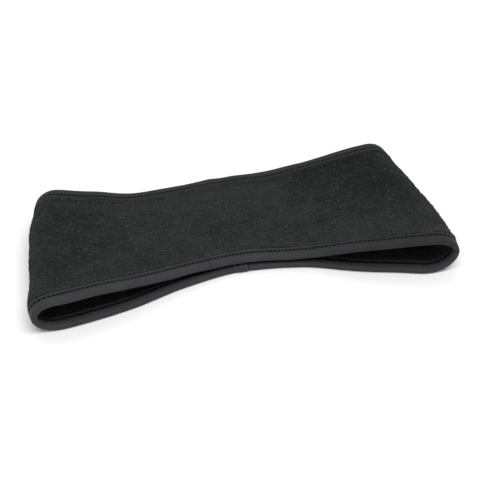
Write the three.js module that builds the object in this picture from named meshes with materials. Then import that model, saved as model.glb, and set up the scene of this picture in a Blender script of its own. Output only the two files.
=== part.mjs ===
import * as THREE from 'three';

// A fleece ear warmer headband, lying folded flat at the two ears. Millimetres, +Z up.
// The lower edge, which covers the ears, is towards -Y, and the upper edge towards +Y.
const foldedLength = 260;
const bandWidth = 108;
const foldHeight = 32;
const layerGap = 1.3;

const fleeceWall = 3.2;
const pressedWall = 2;
const pressedRamp = 3;

const tapeWall = 0.9;
const tapeDepth = 8.4;
const lipRound = 2;
const fitGap = 0.3;

const lapLength = 8;
const lapRise = 0.5;

// Number of straight pieces that a layer, a fold and a rounded lip are made of.
const layerSteps = 26;
const foldSteps = 9;
const lipSteps = 4;

// The band from its left fold to its right fold, where along is a share of the half length.
// lower and upper are the edges' distances from the middle line, as shares of bandWidth.
// lowerLift and upperLift say how far the layers part there, from 0, together, to 1, as at the fold.
// slip is how far the top layer lies towards the upper edge, as a share of bandWidth.
const sections = [
  { along: -1, lower: 0.552, upper: 0.422, lowerLift: 1, upperLift: 1, slip: -0.006 },
  { along: -0.66, lower: 0.487, upper: 0.42, lowerLift: 0.67, upperLift: 0.55, slip: 0.01 },
  { along: -0.33, lower: 0.366, upper: 0.463, lowerLift: 0.2, upperLift: 0.21, slip: 0.011 },
  { along: 0, lower: 0.302, upper: 0.507, lowerLift: 0, upperLift: 0.17, slip: 0.011 },
  { along: 0.33, lower: 0.344, upper: 0.482, lowerLift: 0.07, upperLift: 0.28, slip: 0.004 },
  { along: 0.66, lower: 0.465, upper: 0.444, lowerLift: 0.62, upperLift: 0.67, slip: -0.012 },
  { along: 1, lower: 0.568, upper: 0.42, lowerLift: 1, upperLift: 1, slip: -0.008 },
];

// The two folds from the lower edge, across 0, to the upper edge, across 1.
// Reach is how far a fold stands out past the half length, as a share of it, and height is
// a share of foldHeight.
const folds = [
  { across: 0, leftReach: 0, rightReach: 0.011, leftHeight: 0.765, rightHeight: 0.87 },
  { across: 0.06, leftReach: 0.011, rightReach: 0.018, leftHeight: 0.77, rightHeight: 0.878 },
  { across: 0.12, leftReach: 0.014, rightReach: 0.021, leftHeight: 0.775, rightHeight: 0.885 },
  { across: 0.25, leftReach: 0, rightReach: 0.02, leftHeight: 0.785, rightHeight: 0.9 },
  { across: 0.5, leftReach: -0.009, rightReach: -0.003, leftHeight: 0.805, rightHeight: 0.935 },
  { across: 0.75, leftReach: -0.024, rightReach: -0.032, leftHeight: 0.84, rightHeight: 0.96 },
  { across: 1, leftReach: -0.066, rightReach: -0.066, leftHeight: 0.88, rightHeight: 0.98 },
];

// How the folds bend. Long is how far a fold reaches past its middle, and low how far its tip lies
// below half its height, both as shares of its radius: sharp at the lower edge, round further in.
const bends = [
  { across: 0, leftLong: 1.5, rightLong: 1.45, leftLow: 0.05, rightLow: 0 },
  { across: 0.12, leftLong: 1.15, rightLong: 1.1, leftLow: 0.02, rightLow: 0 },
  { across: 0.3, leftLong: 1, rightLong: 1, leftLow: 0, rightLow: 0 },
  { across: 1, leftLong: 1, rightLong: 1, leftLow: 0, rightLow: 0 },
];

// One leg of the tape, from its free end to the round lip. depth is a share of tapeDepth, and
// thick a share of tapeWall: the stitch line pulls it thin, and the folded end stands up beside it.
const tapeLeg = [
  { depth: 1, thick: 0.65 },
  { depth: 0.88, thick: 1 },
  { depth: 0.7, thick: 0.6 },
  { depth: 0.52, thick: 1 },
];

// Where the fleece has rows between its two pressed edges, as shares of its width.
const fleeceRows = [0.22, 0.36, 0.5, 0.64, 0.78];

const pressedHalf = pressedWall / 2;
const tapeInside = pressedHalf + fitGap;
const tapeOutside = tapeInside + tapeWall;
const fleeceInset = tapeWall + fitGap;
const halfLength = foldedLength / 2;

const mix = (from, to, share) => from + (to - from) * share;
const clamp = (value) => Math.min(Math.max(value, 0), 1);
const ease = (share) => clamp(share) ** 2 * (3 - 2 * clamp(share));

// A smooth curve through one column of a table: a cubic between rows. The slope at a row is the
// harmonic mean of the slopes beside it, and level where those two have opposite signs.
function curveThrough(rows, place, column) {
  const at = rows.map((row) => row[place]);
  const value = rows.map((row) => row[column]);
  const rise = at.slice(1).map((next, i) => (value[i + 1] - value[i]) / (next - at[i]));
  const slope = at.map((_, i) => {
    const before = rise[Math.max(i - 1, 0)];
    const after = rise[Math.min(i, rise.length - 1)];
    return before * after > 0 ? (2 * before * after) / (before + after) : 0;
  });
  return (where) => {
    const found = at.findIndex((next) => next >= where);
    const i = Math.min(Math.max(found < 0 ? at.length - 1 : found, 1), at.length - 1) - 1;
    const span = at[i + 1] - at[i];
    const t = (where - at[i]) / span;
    const start = value[i] * (1 + 2 * t) * (1 - t) ** 2 + slope[i] * span * t * (1 - t) ** 2;
    const end = value[i + 1] * t * t * (3 - 2 * t) + slope[i + 1] * span * t * t * (t - 1);
    return start + end;
  };
}

const section = {};
for (const column of ['lower', 'upper', 'lowerLift', 'upperLift', 'slip']) {
  section[column] = curveThrough(sections, 'along', column);
}
const fold = {};
for (const column of ['leftReach', 'rightReach', 'leftHeight', 'rightHeight']) {
  fold[column] = curveThrough(folds, 'across', column);
}
for (const column of ['leftLong', 'rightLong', 'leftLow', 'rightLow']) {
  fold[column] = curveThrough(bends, 'across', column);
}

// The stations round the loop: the layer that lies below from left to right, the right fold going
// up, the top layer from right to left, and the left fold going down. side is 0 below, 1 on top.
function loopStations() {
  const stations = [];
  for (let i = 0; i < layerSteps; i += 1) {
    stations.push({ along: mix(-1, 1, i / layerSteps), turn: 0, side: 0 });
  }
  for (let i = 0; i < foldSteps; i += 1) {
    const turn = (Math.PI * i) / foldSteps;
    stations.push({ along: 1, turn, side: (1 - Math.cos(turn)) / 2 });
  }
  for (let i = 0; i < layerSteps; i += 1) {
    stations.push({ along: mix(1, -1, i / layerSteps), turn: Math.PI, side: 1 });
  }
  for (let i = 0; i < foldSteps; i += 1) {
    const turn = (Math.PI * i) / foldSteps;
    stations.push({ along: -1, turn: Math.PI - turn, side: (1 + Math.cos(turn)) / 2 });
  }
  return stations;
}
const stations = loopStations();

const foldRadius = (name, across) => (fold[`${name}Height`](across) * foldHeight) / 2 - tapeOutside;
const foldCentre = (name, across) => {
  const reach = halfLength * (1 + fold[`${name}Reach`](across)) - tapeOutside;
  return reach - fold[`${name}Long`](across) * foldRadius(name, across);
};

// The middle of the wall at a station, seen along Y: x and the height above the lower layer.
function loopPoint({ along, turn, side }, across) {
  const name = along < 0 ? 'left' : 'right';
  const radius = mix(foldRadius('left', across), foldRadius('right', across), ease((along + 1) / 2));
  if (Math.abs(along) === 1) {
    const out = foldCentre(name, across) + fold[`${name}Long`](across) * radius * Math.sin(turn);
    const low = fold[`${name}Low`](across) * Math.sin(turn) ** 2;
    return [along * out, radius * (1 - Math.cos(turn) - low)];
  }
  const together = tapeOutside + layerGap / 2;
  const lift = mix(section.lowerLift(along), section.upperLift(along), across);
  return [along * foldCentre(name, across), side * 2 * mix(together, radius, lift)];
}

// Where the two edges lie along Y at a station.
function edgesAt({ along, side }) {
  const slip = section.slip(along) * bandWidth;
  const lower = -section.lower(along) * bandWidth + side * slip;
  const upper = section.upper(along) * bandWidth - (1 - side) * slip;
  return { lower, upper, width: upper - lower };
}

// The height of the wall's middle above the surface it lies on: the fleece sinks between the
// bindings until its own underside touches.
function restHeight(inward) {
  const sink = ease((inward - tapeDepth - fitGap) / pressedRamp);
  return mix(tapeOutside, fleeceWall / 2, sink);
}

// A point of the band: inward is the distance from the edge named, and out the offset from the
// middle of the wall towards the outside of the loop.
function bandPoint(index, edge, inward, out) {
  const station = stations[index];
  const { lower, width } = edgesAt(station);
  const across = edge === 'lower' ? inward / width : 1 - inward / width;
  const count = stations.length;
  const [x, z] = loopPoint(station, across);
  const [xBefore, zBefore] = loopPoint(stations[(index + count - 1) % count], across);
  const [xAfter, zAfter] = loopPoint(stations[(index + 1) % count], across);
  const length = Math.hypot(xAfter - xBefore, zAfter - zBefore);
  const outX = (zAfter - zBefore) / length;
  const outZ = (xBefore - xAfter) / length;
  const nearest = Math.min(inward, width - inward);
  return [x + outX * out, lower + across * width, restHeight(nearest) + z + outZ * out];
}

// A closed ring of profile points carried round the loop and joined to itself.
function ringMesh(name, ringAt, material) {
  const rings = stations.map((_, index) => ringAt(index));
  const points = rings[0].length;
  const indices = [];
  for (let i = 0; i < rings.length; i += 1) {
    const next = (i + 1) % rings.length;
    for (let j = 0; j < points; j += 1) {
      const [a, b] = [i * points + j, i * points + ((j + 1) % points)];
      const [c, d] = [next * points + j, next * points + ((j + 1) % points)];
      indices.push(a, b, c, b, d, c);
    }
  }
  const geometry = new THREE.BufferGeometry();
  geometry.setAttribute('position', new THREE.Float32BufferAttribute(rings.flat(2), 3));
  geometry.setIndex(indices);
  geometry.computeVertexNormals();
  const mesh = new THREE.Mesh(geometry, material);
  mesh.name = name;
  return mesh;
}

// One face of the fleece: how far in from which edge each row lies, and half the wall there.
function fleeceFace(width) {
  const ramp = [
    { inward: fleeceInset, half: pressedHalf },
    { inward: tapeDepth + fitGap, half: pressedHalf },
    { inward: tapeDepth + fitGap + pressedRamp / 2, half: (pressedHalf + fleeceWall / 2) / 2 },
    { inward: tapeDepth + fitGap + pressedRamp, half: fleeceWall / 2 },
  ];
  const lower = ramp.map((row) => ({ edge: 'lower', ...row }));
  const upper = ramp.map((row) => ({ edge: 'upper', ...row })).reverse();
  const between = fleeceRows.map((share) => {
    return { edge: 'lower', inward: share * width, half: fleeceWall / 2 };
  });
  return [...lower, ...between, ...upper];
}

function fleeceBand() {
  const material = new THREE.MeshStandardMaterial({ color: '#2e312f', roughness: 1, metalness: 0 });
  return ringMesh('fleece_band', (index) => {
    const face = fleeceFace(edgesAt(stations[index]).width);
    const outside = face.map((row) => bandPoint(index, row.edge, row.inward, row.half));
    const inside = face.map((row) => bandPoint(index, row.edge, row.inward, -row.half)).reverse();
    return [...outside, ...inside];
  }, material);
}

// The lapped ends of the tape, at the middle of the layer that lies below: a share that is 1 along
// the lap, and falls to 0 within another lap's length on each side.
function lapAt(index) {
  const { along, side } = stations[index];
  const past = Math.abs(along) * halfLength - lapLength / 2;
  return side === 0 ? ease(1 - past / lapLength) : 0;
}

// The tape's section, a U that opens inwards. out is positive on the outside of the loop.
function tapeSection(lap) {
  const leg = tapeLeg.map(({ depth, thick }) => {
    return { inward: depth * tapeDepth, out: tapeInside + thick * tapeWall };
  });
  const lip = [];
  for (let i = 0; i <= lipSteps; i += 1) {
    const turn = Math.PI * (i / lipSteps);
    lip.push({ inward: lipRound * (1 - Math.sin(turn)), out: tapeOutside * Math.cos(turn) });
  }
  const across = (row) => ({ inward: row.inward, out: -row.out });
  const outer = [...leg, ...lip, ...leg.map(across).reverse()];
  const raised = outer.map((row) => ({ ...row, out: row.out - (row.out < 0 ? lap * lapRise : 0) }));
  const slotRound = tapeInside / 3;
  const inner = [
    { inward: tapeDepth, out: tapeInside },
    { inward: tapeWall + slotRound, out: tapeInside },
    { inward: tapeWall, out: tapeInside / 2 },
  ];
  return [...raised, ...inner.map(across), ...inner.reverse()];
}

function edgeBinding(edge, lapped) {
  const material = new THREE.MeshStandardMaterial({ color: '#3d3f44', roughness: 0.8, metalness: 0 });
  const mesh = ringMesh(`${edge}_edge_binding`, (index) => {
    const rows = tapeSection(lapped ? lapAt(index) : 0);
    const ring = rows.map((row) => bandPoint(index, edge, row.inward, row.out));
    return edge === 'lower' ? ring.reverse() : ring;
  }, material);
  return mesh;
}

// The whole band, with its origin on the surface it lies on, under the middle of its box.
function headband() {
  const group = new THREE.Group();
  group.add(fleeceBand(), edgeBinding('lower', true), edgeBinding('upper', false));
  const box = new THREE.Box3().setFromObject(group);
  const middle = box.getCenter(new THREE.Vector3());
  group.position.set(-middle.x, -middle.y, -box.min.z);
  group.updateMatrixWorld(true);
  return group;
}

export default headband();
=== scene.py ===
import math
import bpy
import numpy as np
from mathutils import Matrix, Vector


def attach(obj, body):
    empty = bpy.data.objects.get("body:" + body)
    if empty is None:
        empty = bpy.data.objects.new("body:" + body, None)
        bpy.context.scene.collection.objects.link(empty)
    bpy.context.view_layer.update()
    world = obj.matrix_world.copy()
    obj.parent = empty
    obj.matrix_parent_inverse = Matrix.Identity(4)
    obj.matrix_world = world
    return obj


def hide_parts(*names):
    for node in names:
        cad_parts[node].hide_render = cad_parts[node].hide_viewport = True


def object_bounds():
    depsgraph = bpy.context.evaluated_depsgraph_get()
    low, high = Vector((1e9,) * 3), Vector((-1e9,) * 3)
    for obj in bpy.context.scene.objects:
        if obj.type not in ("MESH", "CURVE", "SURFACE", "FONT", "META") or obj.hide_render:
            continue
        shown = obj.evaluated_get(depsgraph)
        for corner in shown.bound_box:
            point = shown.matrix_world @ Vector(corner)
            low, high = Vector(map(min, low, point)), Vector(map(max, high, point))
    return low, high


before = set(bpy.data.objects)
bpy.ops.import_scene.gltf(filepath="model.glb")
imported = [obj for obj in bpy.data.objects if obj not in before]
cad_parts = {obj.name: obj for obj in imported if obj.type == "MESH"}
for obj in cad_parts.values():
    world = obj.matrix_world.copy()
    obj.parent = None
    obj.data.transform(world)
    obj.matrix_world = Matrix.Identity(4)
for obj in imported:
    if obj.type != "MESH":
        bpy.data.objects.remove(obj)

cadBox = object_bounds()     # the box of the solids alone
mm = 0.001
dice = np.random.default_rng(41)

# A fleece ear warmer headband that lies folded flat at the two ears. Lengths are in millimetres
# until a mesh is made. The lower edge, over the ears, is towards the camera.

# Shape of the band, as its solids have it
band = {
    "foldedLength": 260.0,   # flat, from fold to fold
    "bandWidth": 108.0,      # from edge to edge at the folds
    "foldHeight": 32.0,
    "layerGap": 1.3,         # between the two bindings where the layers lie together
    "fleeceWall": 3.2,
    "tapeDepth": 8.4,        # how far the binding reaches in from the edge
    "edgeHalf": 2.2,         # from the middle of a bound edge out to its surface
    "kinkRound": 2.6,        # how softly the layers run into the folds
    "lowerDroop": 1.0,       # how far the top layer's edges hang where the layers lie together
    "upperDroop": 0.1,
    "droopReach": 13.0,
    "tapeGap": 0.3,          # past the binding's end, where the cloth starts to settle,
    "settleOver": 3.0,       # and how far it takes to lie at half its own wall
    "waveFrom": 4.0,         # waves begin above this height
    "waveOver": 8.0,         # and are full so much higher
    "loopAt": 0.5,           # share across at which the length round the loop is taken
}
# Across the band from its left fold to its right fold. Widths and slip are shares of bandWidth,
# and a lift of 0 has the layers together, 1 as far apart as at the fold.
sectionTable = {
    "along": [-1, -0.66, -0.33, 0, 0.33, 0.66, 1],
    "lower": [0.552, 0.487, 0.366, 0.302, 0.344, 0.465, 0.568],
    "upper": [0.422, 0.42, 0.463, 0.507, 0.482, 0.444, 0.42],
    "lowerLift": [1, 0.67, 0.2, 0, 0.07, 0.62, 1],
    "upperLift": [1, 0.55, 0.21, 0.17, 0.28, 0.67, 1],
    "slip": [-0.006, 0.01, 0.011, 0.011, 0.004, -0.012, -0.008],
}
# The folds from the lower edge to the upper one: reach past the half length, and height
foldTable = {
    "across": [0, 0.06, 0.12, 0.25, 0.5, 0.75, 1],
    "leftReach": [0, 0.011, 0.014, 0, -0.009, -0.024, -0.066],
    "rightReach": [0.011, 0.018, 0.021, 0.02, -0.003, -0.032, -0.066],
    "leftHeight": [0.765, 0.77, 0.775, 0.785, 0.805, 0.84, 0.88],
    "rightHeight": [0.87, 0.878, 0.885, 0.9, 0.935, 0.96, 0.98],
}
# How the folds bend: how far a fold reaches past its middle, and how far its tip lies below half
# its height, as shares of its radius. They are sharp at the lower edge and round further in.
bendTable = {
    "across": [0, 0.12, 0.3, 1],
    "leftLong": [1.5, 1.15, 1, 1],
    "rightLong": [1.45, 1.1, 1, 1],
    "leftLow": [0.05, 0.02, 0, 0],
    "rightLow": [0, 0, 0, 0],
}
# Slow waves of the top layer: how many round the loop and across, where they start, and how high
waveTable = {
    "round": [7, 11, 5, 16],
    "across": [0.6, -1.1, 1.4, 0.5],
    "start": [0.1, 0.55, 0.3, 0.8],
    "height": [0.35, 0.22, 0.25, 0.1],
}


def mix(low, high, share):
    return low + (high - low) * share


def ease(share):         # 3t^2 - 2t^3, held between 0 and 1
    t = np.clip(share, 0, 1)
    return t * t * (3 - 2 * t)


def bell(away):          # e^-(t^2)
    return np.exp(-away * away)


# A cubic between the rows of a table. A row's slope is the harmonic mean of the slopes beside it,
# and level where those two have opposite signs.
def curveThrough(table, place, column):
    at, value = np.array(table[place], float), np.array(table[column], float)
    rise = np.diff(value) / np.diff(at)
    before, after = np.r_[rise[0], rise], np.r_[rise, rise[-1]]
    agree = before * after > 0
    slope = np.where(agree, 2 * before * after / np.where(agree, before + after, 1), 0)

    def curve(where):
        i = np.clip(np.searchsorted(at, where) - 1, 0, len(at) - 2)
        span = at[i + 1] - at[i]
        t = (where - at[i]) / span
        start = value[i] * (1 + 2 * t) * (1 - t) ** 2 + slope[i] * span * t * (1 - t) ** 2
        return start + value[i + 1] * t * t * (3 - 2 * t) + slope[i + 1] * span * t * t * (t - 1)

    return curve


section = {name: curveThrough(sectionTable, "along", name) for name in sectionTable if name != "along"}
fold = {name: curveThrough(foldTable, "across", name) for name in foldTable if name != "across"}
bend = {name: curveThrough(bendTable, "across", name) for name in bendTable if name != "across"}


def foldRadius(side, across):
    return fold[side + "Height"](across) * band["foldHeight"] / 2 - band["edgeHalf"]


def foldCentre(side, across):
    reach = band["foldedLength"] / 2 * (1 + fold[side + "Reach"](across)) - band["edgeHalf"]
    return reach - bend[side + "Long"](across) * foldRadius(side, across)


# Stations evenly spaced round the loop: below from left to right, up the right fold, back on top
# and down the left fold. along runs from -1 to 1, turn from 0 to pi, side is (1 - cos turn) / 2.
def loopStations(count):
    run = foldCentre("left", band["loopAt"]) + foldCentre("right", band["loopAt"])
    rightTurn, leftTurn = (math.pi * foldRadius(side, band["loopAt"]) for side in ("right", "left"))
    lengths = np.array([run, rightTurn, run, leftTurn])
    ends = np.cumsum(lengths)
    place = (np.arange(count) + 0.5) / count * ends[-1]
    which = np.searchsorted(ends, place)
    share = (place - ends[which] + lengths[which]) / lengths[which]
    zero = 0 * share
    along = np.choose(which, [2 * share - 1, zero + 1, 1 - 2 * share, zero - 1])
    turn = math.pi * np.choose(which, [zero, share, zero + 1, 1 - share])
    return {"along": along[:, None], "turn": turn[:, None], "side": (1 - np.cos(turn[:, None])) / 2,
            "share": (place / ends[-1])[:, None], "step": ends[-1] / count, "length": ends[-1]}


# Each column of values blurred round the loop by a bell curve, through its Fourier series
def blurRound(values, width, step):
    series = np.fft.rfft(values, axis=0)
    turns = np.fft.rfftfreq(values.shape[0], step)
    weight = np.exp(-2 * (math.pi * turns * width) ** 2)[:, None]
    return np.fft.irfft(series * weight, values.shape[0], axis=0)


# The middle of the wall. x and z follow the layers and folds, and y is a share of the way from
# the lower edge to the upper one. On the top layer slow waves lift the cloth and its edges droop.
def bandSurface(stations, edge, inward):
    along, turn, side = stations["along"], stations["turn"], stations["side"]
    slip = section["slip"](along) * band["bandWidth"]
    lower = -section["lower"](along) * band["bandWidth"] + side * slip
    upper = section["upper"](along) * band["bandWidth"] - (1 - side) * slip
    width = blurRound(upper - lower, band["kinkRound"], stations["step"])
    lower = blurRound(lower, band["kinkRound"], stations["step"])
    inward = inward(width) if callable(inward) else inward + 0 * width
    across = inward / width if edge == "lower" else 1 - inward / width
    left, right = foldRadius("left", across), foldRadius("right", across)
    radius = mix(left, right, ease((along + 1) / 2))
    centre = np.where(along < 0, foldCentre("left", across), foldCentre("right", across))
    together = band["edgeHalf"] + band["layerGap"] / 2
    lift = mix(section["lowerLift"](along), section["upperLift"](along), across)
    isFold = np.abs(along) == 1
    long = np.where(along < 0, bend["leftLong"](across), bend["rightLong"](across))
    low = np.where(along < 0, bend["leftLow"](across), bend["rightLow"](across)) * np.sin(turn) ** 2
    x = np.where(isFold, along * (centre + long * radius * np.sin(turn)), along * centre)
    z = np.where(isFold, radius * (1 - np.cos(turn) - low), side * 2 * mix(together, radius, lift))
    x = blurRound(x, band["kinkRound"], stations["step"])
    z = blurRound(z, band["kinkRound"], stations["step"])
    nearest = np.minimum(inward, width - inward)
    settled = ease((nearest - band["tapeDepth"] - band["tapeGap"]) / band["settleOver"])
    z += mix(band["edgeHalf"], band["fleeceWall"] / 2, settled)
    for rounds, overs, start, height in zip(*waveTable.values()):
        wave = np.sin(2 * math.pi * (rounds * stations["share"] + overs * across + start))
        z += height * wave * side ** 2 * ease((np.abs(z) - band["waveFrom"]) / band["waveOver"])
    droop = np.where(across < 0.5, band["lowerDroop"], band["upperDroop"])
    droop = droop * (1 - ease(lift)) * side ** 2
    z -= droop * (1 - ease(nearest / band["droopReach"]))
    return np.stack([x, lower + across * width, z], axis=-1), inward, width


# Unit vectors square to a grid of points, away from the inside of the loop
def outwardFrom(points, edge):
    around = np.roll(points, -1, 0) - np.roll(points, 1, 0)
    over = np.gradient(points, axis=1)
    square = np.cross(over, around) if edge == "lower" else np.cross(around, over)
    return square / np.linalg.norm(square, axis=-1, keepdims=True)


# Smooth random hills on a wrapped grid: white noise blurred both ways, with a spread of 1
def softHills(shape, blurDown, blurOver):
    noise = np.fft.fft2(dice.standard_normal(shape))
    down = np.exp(-2 * (math.pi * np.fft.fftfreq(shape[0]) * blurDown) ** 2)
    over = np.exp(-2 * (math.pi * np.fft.fftfreq(shape[1]) * blurOver) ** 2)
    hills = np.fft.ifft2(noise * down[:, None] * over[None, :]).real
    return hills / hills.std()


# How far the band's own outline has to move for its middle to lie over the solids' middle
def bandShift():
    stations = loopStations(400)
    rows = np.array([[0.0, 20.0, 40.0]])     # the edge, and two places on the free cloth
    half = band["fleeceWall"] / 2 * (rows > 0)
    low, high = [], []
    for edge in ("lower", "upper"):
        points, _, _ = bandSurface(stations, edge, rows)
        reach = points + outwardFrom(points, edge) * half[:, :, None]
        low.append(reach.min((0, 1)))
        high.append(reach.max((0, 1)))
    middle = (np.min(low, 0) + np.max(high, 0)) / 2
    solids = (np.array(cadBox[0]) + np.array(cadBox[1])) / 2 / mm
    return np.array([*(solids - middle)[:2], 0])


shift = bandShift()
print("band moved to its solids by", shift.round(2), "mm")


# A mesh from points, faces and texture places, all in millimetres, with its faces turned outwards:
# the volume, a sixth of the sum of a . (b x c), has to be positive
def meshFrom(name, points, faces, texture, material):
    points, faces = points.reshape(-1, 3) * mm, faces.reshape(-1, faces.shape[-1])
    a, b, c = (points[faces[:, k]] for k in (0, 1, 2))
    volume = (a * np.cross(b, c)).sum()
    if faces.shape[1] == 4:
        volume += (a * np.cross(c, points[faces[:, 3]])).sum()
    if volume < 0:
        faces, texture = faces[:, ::-1], texture[:, ::-1]
    mesh = bpy.data.meshes.new(name)
    mesh.vertices.add(len(points))
    mesh.vertices.foreach_set("co", points.astype(np.float32).ravel())
    mesh.loops.add(faces.size)
    mesh.loops.foreach_set("vertex_index", faces.astype(np.int32).ravel())
    mesh.polygons.add(len(faces))
    mesh.polygons.foreach_set("loop_start", np.arange(0, faces.size, faces.shape[1], dtype=np.int32))
    layer = mesh.uv_layers.new(name="cloth")
    layer.data.foreach_set("uv", texture.astype(np.float32).ravel())
    mesh.update(calc_edges=True)
    mesh.validate()
    mesh.shade_smooth()
    mesh.materials.append(material)
    piece = bpy.data.objects.new(name, mesh)
    bpy.context.scene.collection.objects.link(piece)
    return piece


# A shade from 0, dark, to 1, light, kept with each point of a mesh: random tone and painted shade on the
# fleece, painted shade and highlight on the tapes
def addShade(piece, shade):
    attribute = piece.data.attributes.new("shade", "FLOAT", "POINT")
    attribute.data.foreach_set("value", shade.astype(np.float32).ravel())


# Quads of a grid that closes on itself both ways, and their texture places from two rulers
def wrappedQuads(down, over, rulerDown, rulerOver):
    i, j = np.meshgrid(np.arange(down), np.arange(over), indexing="ij")
    nextI, nextJ = (i + 1) % down, (j + 1) % over
    quads = np.stack([i * over + j, i * over + nextJ, nextI * over + nextJ, nextI * over + j], -1)
    u = np.stack([rulerDown[i], rulerDown[i], rulerDown[i + 1], rulerDown[i + 1]], -1)
    v = np.stack([rulerOver[j], rulerOver[j + 1], rulerOver[j + 1], rulerOver[j]], -1)
    return quads.reshape(-1, 4), np.stack([u, v], -1).reshape(-1, 4, 2)


# Many closed tubes in one mesh. points has a row for each tube, ring and side, and each end is
# closed by a point in the middle of its last ring. v is a tube's own number from 0 to 1.
def tubesFrom(name, points, material):
    count, rings, sides = points.shape[:3]
    ends = points[:, [0, -1]].mean(axis=2)
    each = rings * sides + 2
    flat = np.concatenate([points.reshape(count, -1, 3), ends], axis=1)
    i, j = np.meshgrid(np.arange(rings - 1), np.arange(sides), indexing="ij")
    after = (j + 1) % sides
    here, above = i * sides, (i + 1) * sides
    wall = np.stack([here + j, here + after, above + after, above + j], -1).reshape(-1, 4)
    k, last = np.arange(sides), (rings - 1) * sides
    low = np.stack([k * 0 + each - 2, (k + 1) % sides, k], -1)
    high = np.stack([last + k, last + (k + 1) % sides, k * 0 + each - 1], -1)
    triangles = np.concatenate([wall[:, [0, 1, 2]], wall[:, [0, 2, 3]], low, high])
    u = np.concatenate([np.repeat(np.arange(rings) / rings, sides), [0, 1]])[triangles]
    own = np.broadcast_to(dice.random(count)[:, None, None], (count, *u.shape))
    texture = np.stack([np.tile(u, (count, 1, 1)), own], -1)
    faces = triangles[None] + each * np.arange(count)[:, None, None]
    return meshFrom(name, flat, faces.reshape(-1, 3), texture.reshape(-1, 3, 2), material)


# Node trees

def newMaterial(name):
    material = bpy.data.materials.new(name)
    material.use_nodes = True
    return material, material.node_tree, material.node_tree.nodes["Principled BSDF"]


# A socket is named by its name, or by i and its number. Its value is a number, a colour or a socket.
def addNode(tree, kind, settings=None, **sockets):
    node = tree.nodes.new(kind)
    for name, value in (settings or {}).items():
        setattr(node, name, value)
    for name, value in sockets.items():
        numbered = name[0] == "i" and name[1:].isdigit()
        socket = node.inputs[int(name[1:]) if numbered else name]
        if isinstance(value, bpy.types.NodeSocket):
            tree.links.new(value, socket)
        else:
            socket.default_value = value
    return node


def arithmetic(tree, operation, first, second=0.0, third=0.0):
    node = addNode(tree, "ShaderNodeMath", {"operation": operation}, i0=first, i1=second, i2=third)
    return node.outputs[0]


def mixColour(tree, share, dark, light):
    return addNode(tree, "ShaderNodeMix", {"data_type": "RGBA"}, i0=share, i6=dark, i7=light).outputs[2]


grainLook = {
    "push": 0.0009,          # metres that the fibres are bent aside
    "speckFrom": 0.93,       # a tuft's own number, above which it has a bright tip
    "speckSize": 0.38,       # as a share of the tuft
    "uneven": 0.5,           # how far the tufts differ in height
    "hairHeight": 0.8,
}


# Fibre grain that all the cloth shares. Cloud is a slow blotch, tuft a clump of nap, hair the
# finest fibres and speck a few bright tips, each from 0 to 1. Height is for a bump.
def fibreGrain():
    tree = bpy.data.node_groups.new("fibreGrain", "ShaderNodeTree")
    tree.interface.new_socket("Vector", in_out="INPUT", socket_type="NodeSocketVector")
    for name, start in (("Blotch", 70.0), ("Clump", 800.0), ("Fibre", 3000.0)):
        socket = tree.interface.new_socket(name, in_out="INPUT", socket_type="NodeSocketFloat")
        socket.default_value = start
    for name in ("Cloud", "Tuft", "Hair", "Speck", "Height"):
        tree.interface.new_socket(name, in_out="OUTPUT", socket_type="NodeSocketFloat")
    entry, leave = tree.nodes.new("NodeGroupInput"), tree.nodes.new("NodeGroupOutput")
    at, clump = entry.outputs["Vector"], entry.outputs["Clump"]
    cloud = addNode(tree, "ShaderNodeTexNoise", Vector=at, Scale=entry.outputs["Blotch"],
                    Detail=3.0, Roughness=0.6)
    bent = addNode(tree, "ShaderNodeTexNoise", Vector=at, Scale=clump, Detail=2.0)
    push = addNode(tree, "ShaderNodeVectorMath", {"operation": "MULTIPLY_ADD"},
                   i0=bent.outputs["Color"], i1=(grainLook["push"],) * 3, i2=at)
    tuft = addNode(tree, "ShaderNodeTexVoronoi", Vector=push.outputs[0], Scale=clump)
    hair = addNode(tree, "ShaderNodeTexNoise", Vector=push.outputs[0], Scale=entry.outputs["Fibre"],
                   Detail=4.0, Roughness=0.7, Distortion=1.2)
    own = addNode(tree, "ShaderNodeSeparateColor", i0=tuft.outputs["Color"]).outputs[0]
    dome = arithmetic(tree, "SUBTRACT", 1.0, tuft.outputs["Distance"])
    bright = arithmetic(tree, "GREATER_THAN", own, grainLook["speckFrom"])
    small = arithmetic(tree, "LESS_THAN", tuft.outputs["Distance"], grainLook["speckSize"])
    tree.links.new(cloud.outputs[0], leave.inputs["Cloud"])
    tree.links.new(dome, leave.inputs["Tuft"])
    tree.links.new(hair.outputs[0], leave.inputs["Hair"])
    tree.links.new(arithmetic(tree, "MULTIPLY", bright, small), leave.inputs["Speck"])
    uneven = arithmetic(tree, "MULTIPLY_ADD", own, grainLook["uneven"], dome)
    height = arithmetic(tree, "MULTIPLY_ADD", hair.outputs[0], grainLook["hairHeight"], uneven)
    tree.links.new(height, leave.inputs["Height"])
    return tree


grainGroup = fibreGrain()


def addGrain(tree, at, **sizes):
    return addNode(tree, "ShaderNodeGroup", {"node_tree": grainGroup}, Vector=at, **sizes).outputs


def addBump(tree, shader, height, strength, distance):
    bump = addNode(tree, "ShaderNodeBump", Strength=strength, Distance=distance, Height=height)
    tree.links.new(bump.outputs[0], shader.inputs["Normal"])


fleeceLook = {
    # pit is the dark end of the random grain, and between the tufts it is also painted shade
    "pit": (0.0056, 0.0071, 0.0063, 1),
    "tip": (0.0376, 0.0456, 0.0407, 1),
    "speck": (0.078, 0.084, 0.077, 1),
    "start": -1.27,          # the way from pit to tip starts here, and these are added to it
    "cloud": 0.9,
    "hair": 1.4,
    "tuft": 0.6,
    # how far the shade attribute moves the colour: random tone, and painted shade on the top layer
    "randomToneAndShade": 0.45,
    "sheen": 0.05,
    "bump": 1.0,
    "bumpDistance": 0.0008,
}


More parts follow.
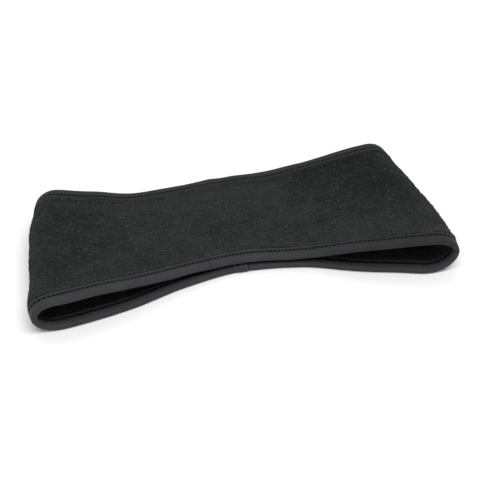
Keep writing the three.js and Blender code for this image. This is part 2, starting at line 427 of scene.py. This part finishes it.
def fleeceMaterial():
    material, tree, shader = newMaterial("charcoalFleece")
    at = addNode(tree, "ShaderNodeTexCoord").outputs["Object"]
    grain = addGrain(tree, at, Blotch=95.0, Clump=950.0, Fibre=2600.0)
    shade = addNode(tree, "ShaderNodeAttribute", {"attribute_name": "shade"}).outputs["Fac"]
    share = arithmetic(tree, "MULTIPLY_ADD", grain["Cloud"], fleeceLook["cloud"], fleeceLook["start"])
    share = arithmetic(tree, "MULTIPLY_ADD", grain["Hair"], fleeceLook["hair"], share)
    # painted shade: darker between the tufts, where the bump is low
    share = arithmetic(tree, "MULTIPLY_ADD", grain["Tuft"], fleeceLook["tuft"], share)
    # the shade attribute adds random tone and painted shade
    share = arithmetic(tree, "MULTIPLY_ADD", shade, fleeceLook["randomToneAndShade"], share)
    colour = mixColour(tree, share, fleeceLook["pit"], fleeceLook["tip"])
    colour = mixColour(tree, grain["Speck"], colour, fleeceLook["speck"])
    tree.links.new(colour, shader.inputs["Base Color"])
    addBump(tree, shader, grain["Height"], fleeceLook["bump"], fleeceLook["bumpDistance"])
    shader.inputs["Roughness"].default_value = 1.0
    shader.inputs["Specular IOR Level"].default_value = 0.1
    shader.inputs["Sheen Weight"].default_value = fleeceLook["sheen"]
    shader.inputs["Sheen Roughness"].default_value = 0.5
    return material


napLook = {
    # the root's colour is darker as painted shade in the pile
    "root": (0.0095, 0.011, 0.0105, 1),
    "tip": (0.031, 0.035, 0.0325, 1),
    "lint": (0.08, 0.085, 0.08, 1),
    "lintFrom": 0.975,       # a wisp's own number, above which it is pale lint
    "bump": 0.3,
    "bumpDistance": 0.0001,
}


# A wisp runs from the root's colour to the tip's, darker at the root as painted shade in the pile, and a
# few are lint
def napMaterial():
    material, tree, shader = newMaterial("fleeceNap")
    coordinates = addNode(tree, "ShaderNodeTexCoord").outputs
    parts = addNode(tree, "ShaderNodeSeparateXYZ", i0=coordinates["UV"]).outputs
    grain = addGrain(tree, coordinates["Object"], Blotch=200.0, Clump=900.0, Fibre=3500.0)
    share = arithmetic(tree, "MULTIPLY", grain["Hair"], arithmetic(tree, "ADD", parts[0], 0.5))
    colour = mixColour(tree, share, napLook["root"], napLook["tip"])
    lint = arithmetic(tree, "GREATER_THAN", parts[1], napLook["lintFrom"])
    tree.links.new(mixColour(tree, lint, colour, napLook["lint"]), shader.inputs["Base Color"])
    addBump(tree, shader, grain["Hair"], napLook["bump"], napLook["bumpDistance"])
    shader.inputs["Roughness"].default_value = 0.95
    shader.inputs["Specular IOR Level"].default_value = 0.2
    return material


tapeLook = {
    "dark": (0.0345, 0.0352, 0.038, 1),
    "light": (0.056, 0.0572, 0.0625, 1),
    "roughness": 0.6,
    "sheen": 0.06,
    "wale": 0.5,             # millimetres between the knit's columns, which run along the tape
    "course": 0.42,          # and between its rows
    "lean": 2.2,             # how far the rows lean
    "rowHeight": 0.35,       # as a share of a column's
    # the near black that the painted shade darkens the tape towards
    "paintedShade": (0.006, 0.006, 0.007, 1),
    "start": 0.4,            # taken off the way from dark to light, and these are added to it
    "knit": 0.25,
    "hair": 0.4,
    "bump": 0.5,
    "bumpDistance": 0.00012,
    "hairHeight": 0.5,
}


# The jersey's columns are |sin| ridges across the tape, and its rows lean into a V on each ridge.
# The shade attribute is painted light: it darkens the stitch line and the folded places as painted shade,
# towards a near black.
def tapeMaterial():
    material, tree, shader = newMaterial("bindingTape")
    coordinates = addNode(tree, "ShaderNodeTexCoord").outputs
    grain = addGrain(tree, coordinates["Object"], Blotch=90.0, Clump=1500.0, Fibre=4200.0)
    shade = addNode(tree, "ShaderNodeAttribute", {"attribute_name": "shade"}).outputs["Fac"]
    parts = addNode(tree, "ShaderNodeSeparateXYZ", i0=coordinates["UV"]).outputs
    column = arithmetic(tree, "MULTIPLY", parts[1], math.pi / tapeLook["wale"])
    ridge = arithmetic(tree, "ABSOLUTE", arithmetic(tree, "SINE", column))
    rows = arithmetic(tree, "MULTIPLY", parts[0], 2 * math.pi / tapeLook["course"])
    leaning = arithmetic(tree, "MULTIPLY_ADD", ridge, tapeLook["lean"], rows)
    row = arithmetic(tree, "SINE", leaning)
    knit = arithmetic(tree, "MULTIPLY_ADD", row, tapeLook["rowHeight"], ridge)
    share = arithmetic(tree, "MULTIPLY_ADD", knit, tapeLook["knit"], grain["Cloud"])
    share = arithmetic(tree, "MULTIPLY_ADD", grain["Hair"], tapeLook["hair"], share)
    share = arithmetic(tree, "SUBTRACT", share, tapeLook["start"])
    colour = mixColour(tree, share, tapeLook["dark"], tapeLook["light"])
    # painted shade and highlight from the shade attribute
    tree.links.new(mixColour(tree, shade, tapeLook["paintedShade"], colour), shader.inputs["Base Color"])
    height = arithmetic(tree, "MULTIPLY_ADD", grain["Hair"], tapeLook["hairHeight"], knit)
    addBump(tree, shader, height, tapeLook["bump"], tapeLook["bumpDistance"])
    shader.inputs["Roughness"].default_value = tapeLook["roughness"]
    shader.inputs["Specular IOR Level"].default_value = 0.1
    shader.inputs["Sheen Weight"].default_value = tapeLook["sheen"]
    shader.inputs["Sheen Roughness"].default_value = 0.4
    return material


threadLook = {
    "seamThread": ((0.002, 0.002, 0.0025, 1), (0.007, 0.007, 0.008, 1)),     # dark and light
    "paleThread": ((0.1, 0.1, 0.105, 1), (0.34, 0.34, 0.35, 1)),
    "plies": 14.0,
    "bump": 0.6,
    "bumpDistance": 0.00008,
}


# Thread: its plies are a sine along the texture
def threadMaterial(name):
    material, tree, shader = newMaterial(name)
    coordinates = addNode(tree, "ShaderNodeTexCoord").outputs
    parts = addNode(tree, "ShaderNodeSeparateXYZ", i0=coordinates["UV"]).outputs
    turns = arithmetic(tree, "MULTIPLY", parts[0], threadLook["plies"])
    ply = arithmetic(tree, "ABSOLUTE", arithmetic(tree, "SINE", turns))
    grain = addGrain(tree, coordinates["Object"], Blotch=300.0, Clump=2500.0, Fibre=9000.0)
    share = arithmetic(tree, "MULTIPLY", ply, grain["Hair"])
    tree.links.new(mixColour(tree, share, *threadLook[name]), shader.inputs["Base Color"])
    addBump(tree, shader, ply, threadLook["bump"], threadLook["bumpDistance"])
    shader.inputs["Roughness"].default_value = 0.85
    shader.inputs["Specular IOR Level"].default_value = 0.1
    return material


fleeceCloth, napCloth, tapeCloth = fleeceMaterial(), napMaterial(), tapeMaterial()
seamThread, paleThread = threadMaterial("seamThread"), threadMaterial("paleThread")
print("materials made")


# Fleece

fleece = {
    "stations": 620,
    "outsideRows": 84,       # between the two bound edges
    "insideRows": 34,
    "edgeRows": [1.4, 5.0, 7.5, 8.0, 8.5, 9.0, 9.6, 10.3, 11.2, 12.3],
    "middle": 0.45,          # the cloth lies this far outside the middle line
    "pressed": 1.4,          # how thick it is inside the binding, and free of it
    "free": 3.2,
    "freeFrom": 7.9,
    "freeOver": 1.5,
    "rollHeight": 0.25,      # it stands up beside its binding
    "rollPlace": 10.1,
    "rollWidth": 1.4,
    "foldPlump": 0.25,       # and fuller still on the two folds
    "plumpFrom": 7.7,
    "plumpOver": 3.0,
    "tuftHeight": 0.12,
    "tuftSize": 0.7,
    "lumpHeight": 0.18,
    "lumpSize": 5.0,
    "napFrom": 8.3,          # tufts and lumps start here
    "napOver": 2.0,
    "middleOver": 4.0,       # and over this length the cloth comes half way back to the middle line
    "edgeRoom": 24.0,        # what the rows by the two edges take of the width
    "lowest": 0.06,          # its height above the floor
    "shade": 0.75,           # of the nap, and how far its slow hills lead away from that
    "shadeSpread": 0.12,
    "shadeSize": 22.0,
    "shadeRows": 18.0,
}
# Painted shade: patches of the top layer made darker, each a bell curve: place in millimetres, size and
# how dark
shadePatches = {
    "x": [-98, 92, 62, -62, 104, -8, -114],
    "y": [4, 34, 42, -34, -4, 11, -26],
    "size": [30, 36, 22, 22, 26, 18, 20],
    "dark": [0.7, 0.75, 0.45, 0.5, 0.7, 0.55, 0.45],
}


# Rows across the fleece: close together by each edge, and even between them
def fleeceRows(width, between):
    edge = np.array(fleece["edgeRows"])[None, :]
    share = np.linspace(0, 1, between + 2)[None, 1:-1]
    field = edge[:, -1:] + share * (width - 2 * edge[:, -1:])
    return np.concatenate([edge + 0 * width, field, width - edge[:, ::-1]], axis=1)


# One face of the fleece: the middle of the cloth, plus or minus half its thickness, which is small
# inside the tape, then full, with a roll beside the tape and tufts and lumps over all
def fleeceFace(stations, between, outside):
    points, inward, width = bandSurface(stations, "lower", lambda w: fleeceRows(w, between))
    normals = outwardFrom(points, "lower")
    nearest = np.minimum(inward, width - inward)
    step, cell = stations["step"], (width.mean() - fleece["edgeRoom"]) / between
    small, large = fleece["tuftSize"], fleece["lumpSize"]
    tufts = softHills(inward.shape, small / step, small / cell) * fleece["tuftHeight"]
    lumps = softHills(inward.shape, large / step, large / cell) * fleece["lumpHeight"]
    free = ease((nearest - fleece["freeFrom"]) / fleece["freeOver"])
    half = mix(fleece["pressed"], fleece["free"], free) / 2
    half += fleece["rollHeight"] * bell((nearest - fleece["rollPlace"]) / fleece["rollWidth"])
    half += (tufts + lumps) * ease((nearest - fleece["napFrom"]) / fleece["napOver"])
    if outside:
        plump = fleece["foldPlump"] * 4 * stations["side"] * (1 - stations["side"])
        half += plump * ease((nearest - fleece["plumpFrom"]) / fleece["plumpOver"])
    back = ease((nearest - fleece["napFrom"]) / fleece["middleOver"]) / 2
    middle = fleece["middle"] * (1 - back)
    face = points + normals * (middle + (half if outside else -half))[:, :, None] + shift
    face[:, :, 2] = np.maximum(face[:, :, 2], fleece["lowest"])
    return face, normals, inward


# The shade of the nap: slow hills of random tone, less a bell curve of painted shade at each place of the
# top layer in the patch table
def napToneAndShade(stations, face, outside):
    slow = softHills(face.shape[:2], fleece["shadeSize"] / stations["step"], fleece["shadeRows"])
    shade = fleece["shade"] + slow * fleece["shadeSpread"]
    if outside:
        # painted shade: each patch darkens the top layer by a bell curve
        for x, y, size, dark in zip(*shadePatches.values()):
            away = np.hypot(face[:, :, 0] - x, face[:, :, 1] - y) / size
            shade -= dark * bell(away) * stations["side"]
    return shade


def fleeceBand():
    stations = loopStations(fleece["stations"])
    outer, normals, inward = fleeceFace(stations, fleece["outsideRows"], True)
    inner, _, innerInward = fleeceFace(stations, fleece["insideRows"], False)
    points = np.concatenate([outer, inner[:, ::-1]], axis=1)
    shade = [napToneAndShade(stations, outer, True), napToneAndShade(stations, inner, False)]
    rulerOver = np.r_[inward[0], innerInward[0, ::-1], inward[0, 0]]
    rulerDown = np.arange(len(points) + 1) * stations["step"]
    quads, texture = wrappedQuads(*points.shape[:2], rulerDown, rulerOver)
    piece = meshFrom("fleeceBand", points, quads, texture, fleeceCloth)
    addShade(piece, np.concatenate([shade[0], shade[1][:, ::-1]], axis=1))
    return piece, outer, normals


fleecePiece, fleeceOuter, fleeceNormals = fleeceBand()
print("fleece:", len(fleecePiece.data.polygons), "faces")


# Nap: small wisps that curl over the outside of the fleece

nap = {
    "wisps": 9400,
    "length": (0.45, 1.0),
    "radius": (0.05, 0.1),
    "lean": 0.55,            # how high the middle stands, as a share of the length
    "leanSpread": (0.4, 1.2),
    "bend": 0.35,            # how far the middle may stand aside, as a share of the length
    "middleAt": 0.45,
    "tipAt": 0.9,
    "tipBack": 0.5,          # the tip's height, and its bend back, as a share of the middle's
    "sunk": 0.15,            # the root, below the surface
    "taper": (1.0, 0.85, 0.35),
    "sides": 3,
    "lowest": 4.5,           # none below this height, where the band lies on its outside
}


# Each wisp is a closed tube of three sides: root in the cloth, middle part way along a random way
# and lean above it, tip near its length and lower again.
def napWisps():
    first = len(fleece["edgeRows"]) - 3
    shown = np.argwhere(fleeceOuter[:, first:-first - 1, 2] > nap["lowest"]) + [0, first]
    pick = shown[dice.integers(0, len(shown), nap["wisps"])]
    i, j = pick[:, 0], pick[:, 1]
    here, normal = fleeceOuter[i, j], fleeceNormals[i, j]
    nextDown, nextOver = fleeceOuter[(i + 1) % len(fleeceOuter), j], fleeceOuter[i, j + 1]
    root = here + (nextDown - here) * dice.random((len(i), 1))
    root += (nextOver - here) * dice.random((len(i), 1))
    along = (nextDown - here) / np.linalg.norm(nextDown - here, axis=1, keepdims=True)
    spin = dice.random((len(i), 1)) * 2 * math.pi
    way = np.cos(spin) * along + np.sin(spin) * np.cross(normal, along)
    beside = np.cross(normal, way)
    length = dice.uniform(*nap["length"], (len(i), 1))
    radius = dice.uniform(*nap["radius"], (len(i), 1))
    stand = nap["lean"] * dice.uniform(*nap["leanSpread"], (len(i), 1))
    aside = dice.uniform(-nap["bend"], nap["bend"], (len(i), 1))
    middle = root + (way * nap["middleAt"] + normal * stand + beside * aside) * length
    tip = root + (way * nap["tipAt"] + (normal * stand - beside * aside) * nap["tipBack"]) * length
    centres = np.stack([root - normal * nap["sunk"], middle, tip], axis=1)
    angle = np.linspace(0, 2 * math.pi, nap["sides"], endpoint=False)[:, None]
    around = beside[:, None] * np.cos(angle) + normal[:, None] * np.sin(angle)
    size = radius * np.array(nap["taper"])
    points = centres[:, :, None] + around[:, None] * size[:, :, None, None]
    return tubesFrom("fleeceNap", points, napCloth)


napPiece = napWisps()
print("nap:", len(napPiece.data.polygons), "faces")


# Bindings

tape = {
    "stations": 1400,
    "thick": 3.8,            # a bound edge, measured in from edgeHalf
    "slot": 0.75,            # half the slot that the fleece is in
    "faceFrom": 0.2,         # its two faces begin this far from its middle
    "grooveIn": 5.9,         # from the edge to the stitch line
    "grooveDeep": 0.35,
    "grooveWide": 0.9,
    "bulge": 0.25,           # how much less deep it is between two stitches
    "insideDeep": 2.6,       # how many times as deep the stitch line is on the inside
    "insideRidge": 0.4,      # and how far the tape's folded end stands up there
    "ridgeAt": 7.4,
    "ridgeWide": 0.5,
    "pitch": 2.4,            # from stitch to stitch
    "pucker": 0.06,
    "puckerAt": 4.4,
    "puckerWide": 1.3,
    "dimple": 0.05,          # slight unevenness all over
    "dimpleSize": 3.5,
    "dimpleRows": 2.5,
    "wander": 0.14,          # how far the whole tape strays from a smooth line
    "wanderSize": 9.0,
    "stray": 0.12,           # and its folded end alone
    "straySize": 4.0,
    "strayFrom": 6.6,
    "lipRound": 1.8,
    "lipPower": 0.9,
}
# One leg of the tape from its lip to its folded end: how far in, and half the thickness there
legTable = {
    "inward": [1.8, 3.3, 4.8, 5.9, 6.8, 7.6, 8.1, 8.4],
    "half": [1.9, 1.94, 1.9, 1.82, 1.92, 1.95, 1.75, 1.25],
}
# The rows of points on a leg, close together by the stitch line and the folded end
legRows = [8.4, 8.3, 8.1, 7.8, 7.4, 7.1, 6.8, 6.55, 6.3, 6.1, 5.9, 5.7, 5.5, 5.2, 4.8, 4.2, 3.4, 2.6, 1.8]
# The slot that the fleece is in: how far in, and on which side of its middle
slotTable = {
    "inward": [8.1, 5.0, 1.6, 1.1, 1.1, 1.6, 5.0, 8.1],
    "half": [-1, -1, -1, -0.4, 0.4, 1, 1, 1],
}
# Where the tape's ends lap on the layer below, where two lengths of tape are joined on the top
# layer, and where the far tape laps. Places are along x, and the first lap doesn't rise further out
# than outTo, on the face that it lies on.
lap = {"from": -3.4, "to": 3.6, "rise": 0.55, "startOver": 1.5, "endOver": 0.6, "outTo": 1.0}
join = {"at": -20.8, "deep": 0.4, "wide": 0.45, "shoulder": 0.22, "shoulderWide": 3.0, "slant": 0.12}
farLap = {"at": -4.0, "wide": 4.5, "rise": 0.4}
# Painted light on the tapes: how much of the tape's shade is left, and what painted shade takes away from
# that
tone = {
    # painted highlight: the rest of the tape is darker than the lower tape's folded end
    "plain": 0.84,           # the lower tape's folded end has all of it
    # painted shade in the stitch line's groove
    "paintedShade": 0.97,            # taken on the stitch line
    "sewnOff": 0.1,          # the line's middle lies this far past the stitches
    "sewnWide": 1.1,
    "between": 0.5,          # less of that between two stitches
    # painted shade on the inside face, within the openings
    "inside": 0.2,
    "insideFrom": 4.0,
    "insideOver": 1.5,
    # painted shade in the notch at the lap's end
    "lap": 0.7,
    "lapOff": 0.2,
    "lapWide": 0.45,
    # painted shade in the join's crease
    "join": 0.45,
    # painted shade, darker towards the right end of the top layer
    "right": 0.45,           # towards the right end of the top layer
    "rightFrom": 10.0,
    "rightOver": 90.0,
}


# The tape's section: one leg, the round lip as half an ellipse, the other leg, and the slot inside.
# Returns how far in and out each point is, which way is away from the tape, and 1 outside the slot.
def tapeProfile():
    leg, inward = curveThrough(legTable, "inward", "half"), np.array(legRows)
    angle = np.linspace(0, math.pi, 11)[1:-1]
    lipIn = tape["lipRound"] * (1 - np.sin(angle) ** tape["lipPower"])
    lip = np.stack([lipIn, leg(tape["lipRound"]) * np.cos(angle)], 1)
    outer = np.stack([inward, leg(inward)], 1)
    slot = np.stack([slotTable["inward"], np.array(slotTable["half"]) * tape["slot"]], 1)
    profile = np.concatenate([outer, lip, outer[::-1] * [1, -1], slot])
    tangent = np.roll(profile, -1, 0) - np.roll(profile, 1, 0)
    away = np.stack([tangent[:, 1], -tangent[:, 0]], 1)
    away /= np.linalg.norm(away, axis=1, keepdims=True)
    shown = np.r_[np.ones(len(profile) - len(slot)), np.zeros(len(slot))]
    return profile, away, shown


# A bound edge as a line and two directions: inward along the cloth, and out of the loop
def edgeFrame(stations, edge):
    points, _, _ = bandSurface(stations, edge, np.array([[0.0, band["tapeDepth"]]]))
    out = outwardFrom(points, edge)[:, 0]
    middle = points[:, 0] + out * (band["edgeHalf"] - tape["thick"] / 2)
    return middle + shift, (points[:, 1] - points[:, 0]) / band["tapeDepth"], out


# A binding: its section carried round the edge. The stitch line presses it in with a bell curve,
# less deep between two stitches, and small puckers run from hole to hole. The lap stands up from a
# smooth start to a short end, and the join is a narrow crease between two low shoulders. The whole
# shade is scaled by the last argument, as painted shade that darkens the far tape.
def edgeBinding(name, edge, farShadeScale):
    stations = loopStations(tape["stations"])
    line, inwards, out = edgeFrame(stations, edge)
    profile, away, shown = tapeProfile()
    place = (np.arange(tape["stations"])[:, None] + 0.5) * stations["step"]
    between = (0.5 + 0.5 * np.cos(2 * math.pi * place / tape["pitch"])) ** 2
    groove = bell((profile[:, 0] - tape["grooveIn"]) / tape["grooveWide"])[None, :] * shown
    beside = bell((profile[:, 0] - tape["puckerAt"]) / tape["puckerWide"])[None, :] * shown
    inside = shown * (profile[:, 1] < -tape["faceFrom"])
    outside = shown * (profile[:, 1] > tape["faceFrom"])
    ridge = bell((profile[:, 0] - tape["ridgeAt"]) / tape["ridgeWide"])[None, :] * shown
    deepest = mix(1, tape["insideDeep"], inside)
    raised = -groove * deepest * (tape["grooveDeep"] - tape["bulge"] * between)
    raised += ridge * inside * tape["insideRidge"]
    raised += beside * tape["pucker"] * (1 - 2 * between)
    shape, step = (tape["stations"], len(profile)), stations["step"]
    raised += softHills(shape, tape["dimpleSize"] / step, tape["dimpleRows"]) * tape["dimple"] * shown
    x, onTop = line[:, :1], stations["side"] > 0.5
    if edge == "lower":
        start, end = ease((x - lap["from"]) / lap["startOver"]), ease((lap["to"] - x) / lap["endOver"])
        raised += lap["rise"] * start * end * ~onTop * shown * (profile[:, 1] < lap["outTo"])
        seam = (x - join["at"]) / join["wide"] - join["slant"] * profile[None, :, 0]
        crease = join["shoulder"] * (bell(seam / join["shoulderWide"]) - bell(seam))
        crease -= join["deep"] * bell(seam)
        raised += crease * onTop * outside
    else:
        raised += farLap["rise"] * bell((x - farLap["at"]) / farLap["wide"]) * onTop * outside
    wander = softHills((tape["stations"], 1), tape["wanderSize"] / step, 0) * tape["wander"]
    stray = softHills((tape["stations"], 1), tape["straySize"] / step, 0) * tape["stray"]
    stray = stray * (profile[:, 0] > tape["strayFrom"])
    deep = profile[None, :, 0] + away[None, :, 0] * raised + wander + stray
    high = profile[None, :, 1] + away[None, :, 1] * raised
    points = line[:, None] + inwards[:, None] * deep[:, :, None] + out[:, None] * high[:, :, None]
    points[:, :, 2] = np.maximum(points[:, :, 2], 0.0)
    steps = np.linalg.norm(np.roll(profile, -1, 0) - profile, axis=1)
    rulerDown = np.arange(tape["stations"] + 1) * step
    quads, texture = wrappedQuads(*shape, rulerDown, np.r_[0, np.cumsum(steps)])
    piece = meshFrom(name, points, quads, texture, tapeCloth)
    # painted shade in the stitch line's groove, less of it between two stitches
    paintedShade = bell((profile[:, 0] - tape["grooveIn"] - tone["sewnOff"]) / tone["sewnWide"])[None, :] * shown
    # painted highlight on the lower tape's folded end, and the far tape darker as painted shade
    shade = farShadeScale * (tone["plain"] + (1 - tone["plain"]) * ridge * (edge == "lower"))
    shade = shade * (1 - tone["paintedShade"] * paintedShade * (1 - tone["between"] * between * (1 - inside)))
    # painted shade on the inside face within the openings, all but the folded end
    insideShade = inside * ease((profile[:, 0] - tone["insideFrom"]) / tone["insideOver"])
    shade = shade * (1 - tone["inside"] * insideShade * (1 - ridge))
    if edge == "lower":
        # painted shade in the notch at the lap's end
        lapEndShade = bell((x - lap["to"] - tone["lapOff"]) / tone["lapWide"])
        shade = shade * (1 - tone["lap"] * lapEndShade * ~onTop)
        # painted shade in the join's crease
        shade = shade * (1 - tone["join"] * bell(seam) * onTop * outside)
        # painted shade, darker towards the right end of the top tape
        shade = shade * (1 - tone["right"] * onTop * ease((x - tone["rightFrom"]) / tone["rightOver"]))
    addShade(piece, shade)
    return piece


lowerBinding = edgeBinding("lowerBinding", "lower", 1.0)
# the far tape darker as painted shade
upperBinding = edgeBinding("upperBinding", "upper", 0.7)
print("bindings:", len(lowerBinding.data.polygons), "faces each")


# Stitches

thread = {
    "radius": 0.4,
    "share": 0.6,            # of the pitch that a stitch shows
    "endAt": 0.98,           # t at its two ends, where it is all but closed
    "rings": 7,
    "sides": 6,
    "arch": 0.12,
    "sunk": 0.05,            # its ends, below the bottom of the groove
    "slant": (0.02, 0.12),
    "uneven": (0.9, 1.1),
}


# One row of stitches on one face of a bound edge. A stitch is a tube from needle hole to needle
# hole, where t runs from -1 to 1: it arches as 1 - t^4, and its radius shrinks as (1 - t^4)^1/2.
def stitchRow(name, edge, face, material):
    stations = loopStations(tape["stations"])
    line, inwards, out = edgeFrame(stations, edge)
    count = int(stations["length"] / tape["pitch"])
    t = np.linspace(-thread["endAt"], thread["endAt"], thread["rings"])[None, :]
    centre = (np.arange(count)[:, None] + 0.5) * tape["pitch"]
    place = (centre + t * tape["pitch"] * thread["share"] / 2) / stations["step"] - 0.5
    ring = np.arange(tape["stations"] + 1)

    def at(values):      # between stations, wrapped round the loop
        wrapped = np.concatenate([values, values[:1]])
        return np.stack([np.interp(place, ring, wrapped[:, k]) for k in range(3)], -1)

    base, inner, outer = at(line), at(inwards), at(out)
    bottom = tape["thick"] / 2 - tape["grooveDeep"] - thread["sunk"]
    height = face * (bottom + thread["arch"] * (1 - t ** 4))
    slant = t * dice.uniform(*thread["slant"], (count, 1))
    path = base + inner * (tape["grooveIn"] + slant)[:, :, None] + outer * height[:, :, None]
    radius = thread["radius"] * np.sqrt(1 - t ** 4) * dice.uniform(*thread["uneven"], (count, 1))
    angle = np.linspace(0, 2 * math.pi, thread["sides"], endpoint=False)
    around = inner[:, :, None] * np.cos(angle)[None, None, :, None]
    around = around + outer[:, :, None] * np.sin(angle)[None, None, :, None]
    points = path[:, :, None] + around * radius[:, :, None, None]
    points[..., 2] = np.maximum(points[..., 2], 0.0)
    return tubesFrom(name, points, material)


stitches = []
for edge in ("lower", "upper"):
    for word, face in (("Outside", 1), ("Inside", -1)):
        stitches.append(stitchRow(edge + "Stitches" + word, edge, face, seamThread))
print("stitches:", sum(len(row.data.polygons) for row in stitches), "faces")


# One end of thread that hangs loose out of the lap, as a short tube. It follows the surface of the
# lower binding from the layer's inside face over the lip, while it moves along the edge.
looseEnd = {
    "from": -5.2,            # along x
    "to": -3.0,
    "radius": 0.15,
    "above": 0.25,           # its middle, off the tape
    "start": 1.4,            # how far in from the lip it starts
    "turn": 2.2,             # how far it goes round the lip
    "liftShare": 0.4,        # of the lap's rise
    "rings": 24,
    "sides": 6,
}


# Its path is an ellipse round the lip, drawn out inwards at the start by start times (1 - t)^2
def looseThread():
    stations = loopStations(tape["stations"])
    line, inwards, out = edgeFrame(stations, "lower")
    below = np.flatnonzero(stations["side"][:, 0] == 0)
    t = np.linspace(0, 1, looseEnd["rings"])
    where = mix(looseEnd["from"], looseEnd["to"], t)

    def at(values):
        return np.stack([np.interp(where, line[below, 0], values[below, k]) for k in range(3)], -1)

    base, inner, outer = at(line), at(inwards), at(out)
    angle = mix(0.0, looseEnd["turn"], t)
    half = tape["thick"] / 2 + lap["rise"] * looseEnd["liftShare"] + looseEnd["above"]
    deep = tape["lipRound"] - (tape["lipRound"] + looseEnd["above"]) * np.sin(angle)
    deep += looseEnd["start"] * (1 - t) ** 2
    path = base + inner * deep[:, None] - outer * (half * np.cos(angle))[:, None]
    tangent = np.gradient(path, axis=0)
    tangent /= np.linalg.norm(tangent, axis=1, keepdims=True)
    aside = np.cross(tangent, inner)
    aside /= np.linalg.norm(aside, axis=1, keepdims=True)
    up = np.cross(aside, tangent)
    turn = np.linspace(0, 2 * math.pi, looseEnd["sides"], endpoint=False)[None, :, None]
    around = aside[:, None] * np.cos(turn) + up[:, None] * np.sin(turn)
    return tubesFrom("looseThread", (path[:, None] + around * looseEnd["radius"])[None], paleThread)


loosePiece = looseThread()

# The pieces ride on the one body, and stand for the solids
pieces = {
    fleecePiece: ("fleece", ["fleece_band"]),
    napPiece: ("fleece", []),
    lowerBinding: ("binding_tape", ["lower_edge_binding"]),
    upperBinding: ("binding_tape", ["upper_edge_binding"]),
    loosePiece: ("binding_tape", []),
}
for row in stitches:
    pieces[row] = ("binding_tape", [])
for piece, (slot, stoodFor) in pieces.items():
    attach(piece, "root")
    if stoodFor:
        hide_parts(*stoodFor)


# Floor, light and camera

studio = {
    "floor": 6000.0,
    "floorColour": (0.96, 0.96, 0.96, 1),
    "world": (1.0, 1.0, 1.0, 1),
    "worldStrength": 0.48,
}


def studioFloor():
    half = studio["floor"] / 2
    corners = np.array([[-half, -half, 0], [half, -half, 0], [half, half, 0], [-half, half, 0]]) * mm
    material, tree, shader = newMaterial("paleFloor")
    shader.inputs["Base Color"].default_value = studio["floorColour"]
    shader.inputs["Roughness"].default_value = 0.9
    mesh = bpy.data.meshes.new("floor")
    mesh.from_pydata(corners.tolist(), [], [[0, 1, 2, 3]])
    mesh.materials.append(material)
    piece = bpy.data.objects.new("floor", mesh)
    bpy.context.scene.collection.objects.link(piece)
    return piece


floor = studioFloor()


# Wide soft lights over the band, all of them towards its middle: places and sizes in metres
lightTable = {
    "name": ["frontKey", "backLight"],
    "at": [(0.12, -0.75, 2.0), (-0.05, 0.9, 1.7)],
    "wide": [2.6, 2.2],
    "tall": [0.9, 0.8],
    "watts": [37, 5],
}


def softLight(name, at, wide, tall, watts):
    data = bpy.data.lights.new(name, "AREA")
    data.shape, data.size, data.size_y, data.energy = "RECTANGLE", wide, tall, watts
    lamp = bpy.data.objects.new(name, data)
    lamp.location = at
    lamp.rotation_euler = Vector(at).to_track_quat("Z", "Y").to_euler()
    bpy.context.scene.collection.objects.link(lamp)


for row in zip(*lightTable.values()):
    softLight(*row)

world = bpy.data.worlds.new("paleRoom")
world.use_nodes = True
backdrop = world.node_tree.nodes["Background"]
backdrop.inputs["Color"].default_value = studio["world"]
backdrop.inputs["Strength"].default_value = studio["worldStrength"]
bpy.context.scene.world = world
bpy.context.scene.view_settings.view_transform = "Standard"

view = {
    "azimuth": -12.33,       # degrees from the middle of the lower edge, towards +X
    "elevation": 38.43,
    "roll": -0.67,
    "distance": 0.6094,      # in metres
    "lens": 70.03,
    "lookAt": (5.22, 3.4, 0),
}


# The camera stands off lookAt by distance, along a line with that azimuth and elevation, and its
# right and up turn about that line by roll
def addCamera():
    azimuth, elevation, roll = (math.radians(view[k]) for k in ("azimuth", "elevation", "roll"))
    back = np.array([math.sin(azimuth) * math.cos(elevation), -math.cos(azimuth) * math.cos(elevation),
                     math.sin(elevation)])
    right = np.cross(-back, [0, 0, 1])
    right /= np.linalg.norm(right)
    up = np.cross(right, -back)
    turnedRight = right * math.cos(roll) + up * math.sin(roll)
    turnedUp = up * math.cos(roll) - right * math.sin(roll)
    data = bpy.data.cameras.new("camera")
    data.lens = view["lens"]
    data.sensor_width = 36
    camera = bpy.data.objects.new("camera", data)
    turned = np.eye(4)
    turned[:3, :3] = np.stack([turnedRight, turnedUp, back], axis=1)
    turned[:3, 3] = np.array(view["lookAt"]) * mm + back * view["distance"]
    camera.matrix_world = Matrix(turned.tolist())
    bpy.context.scene.collection.objects.link(camera)
    bpy.context.scene.camera = camera


addCamera()
print("floor, lights and camera made")
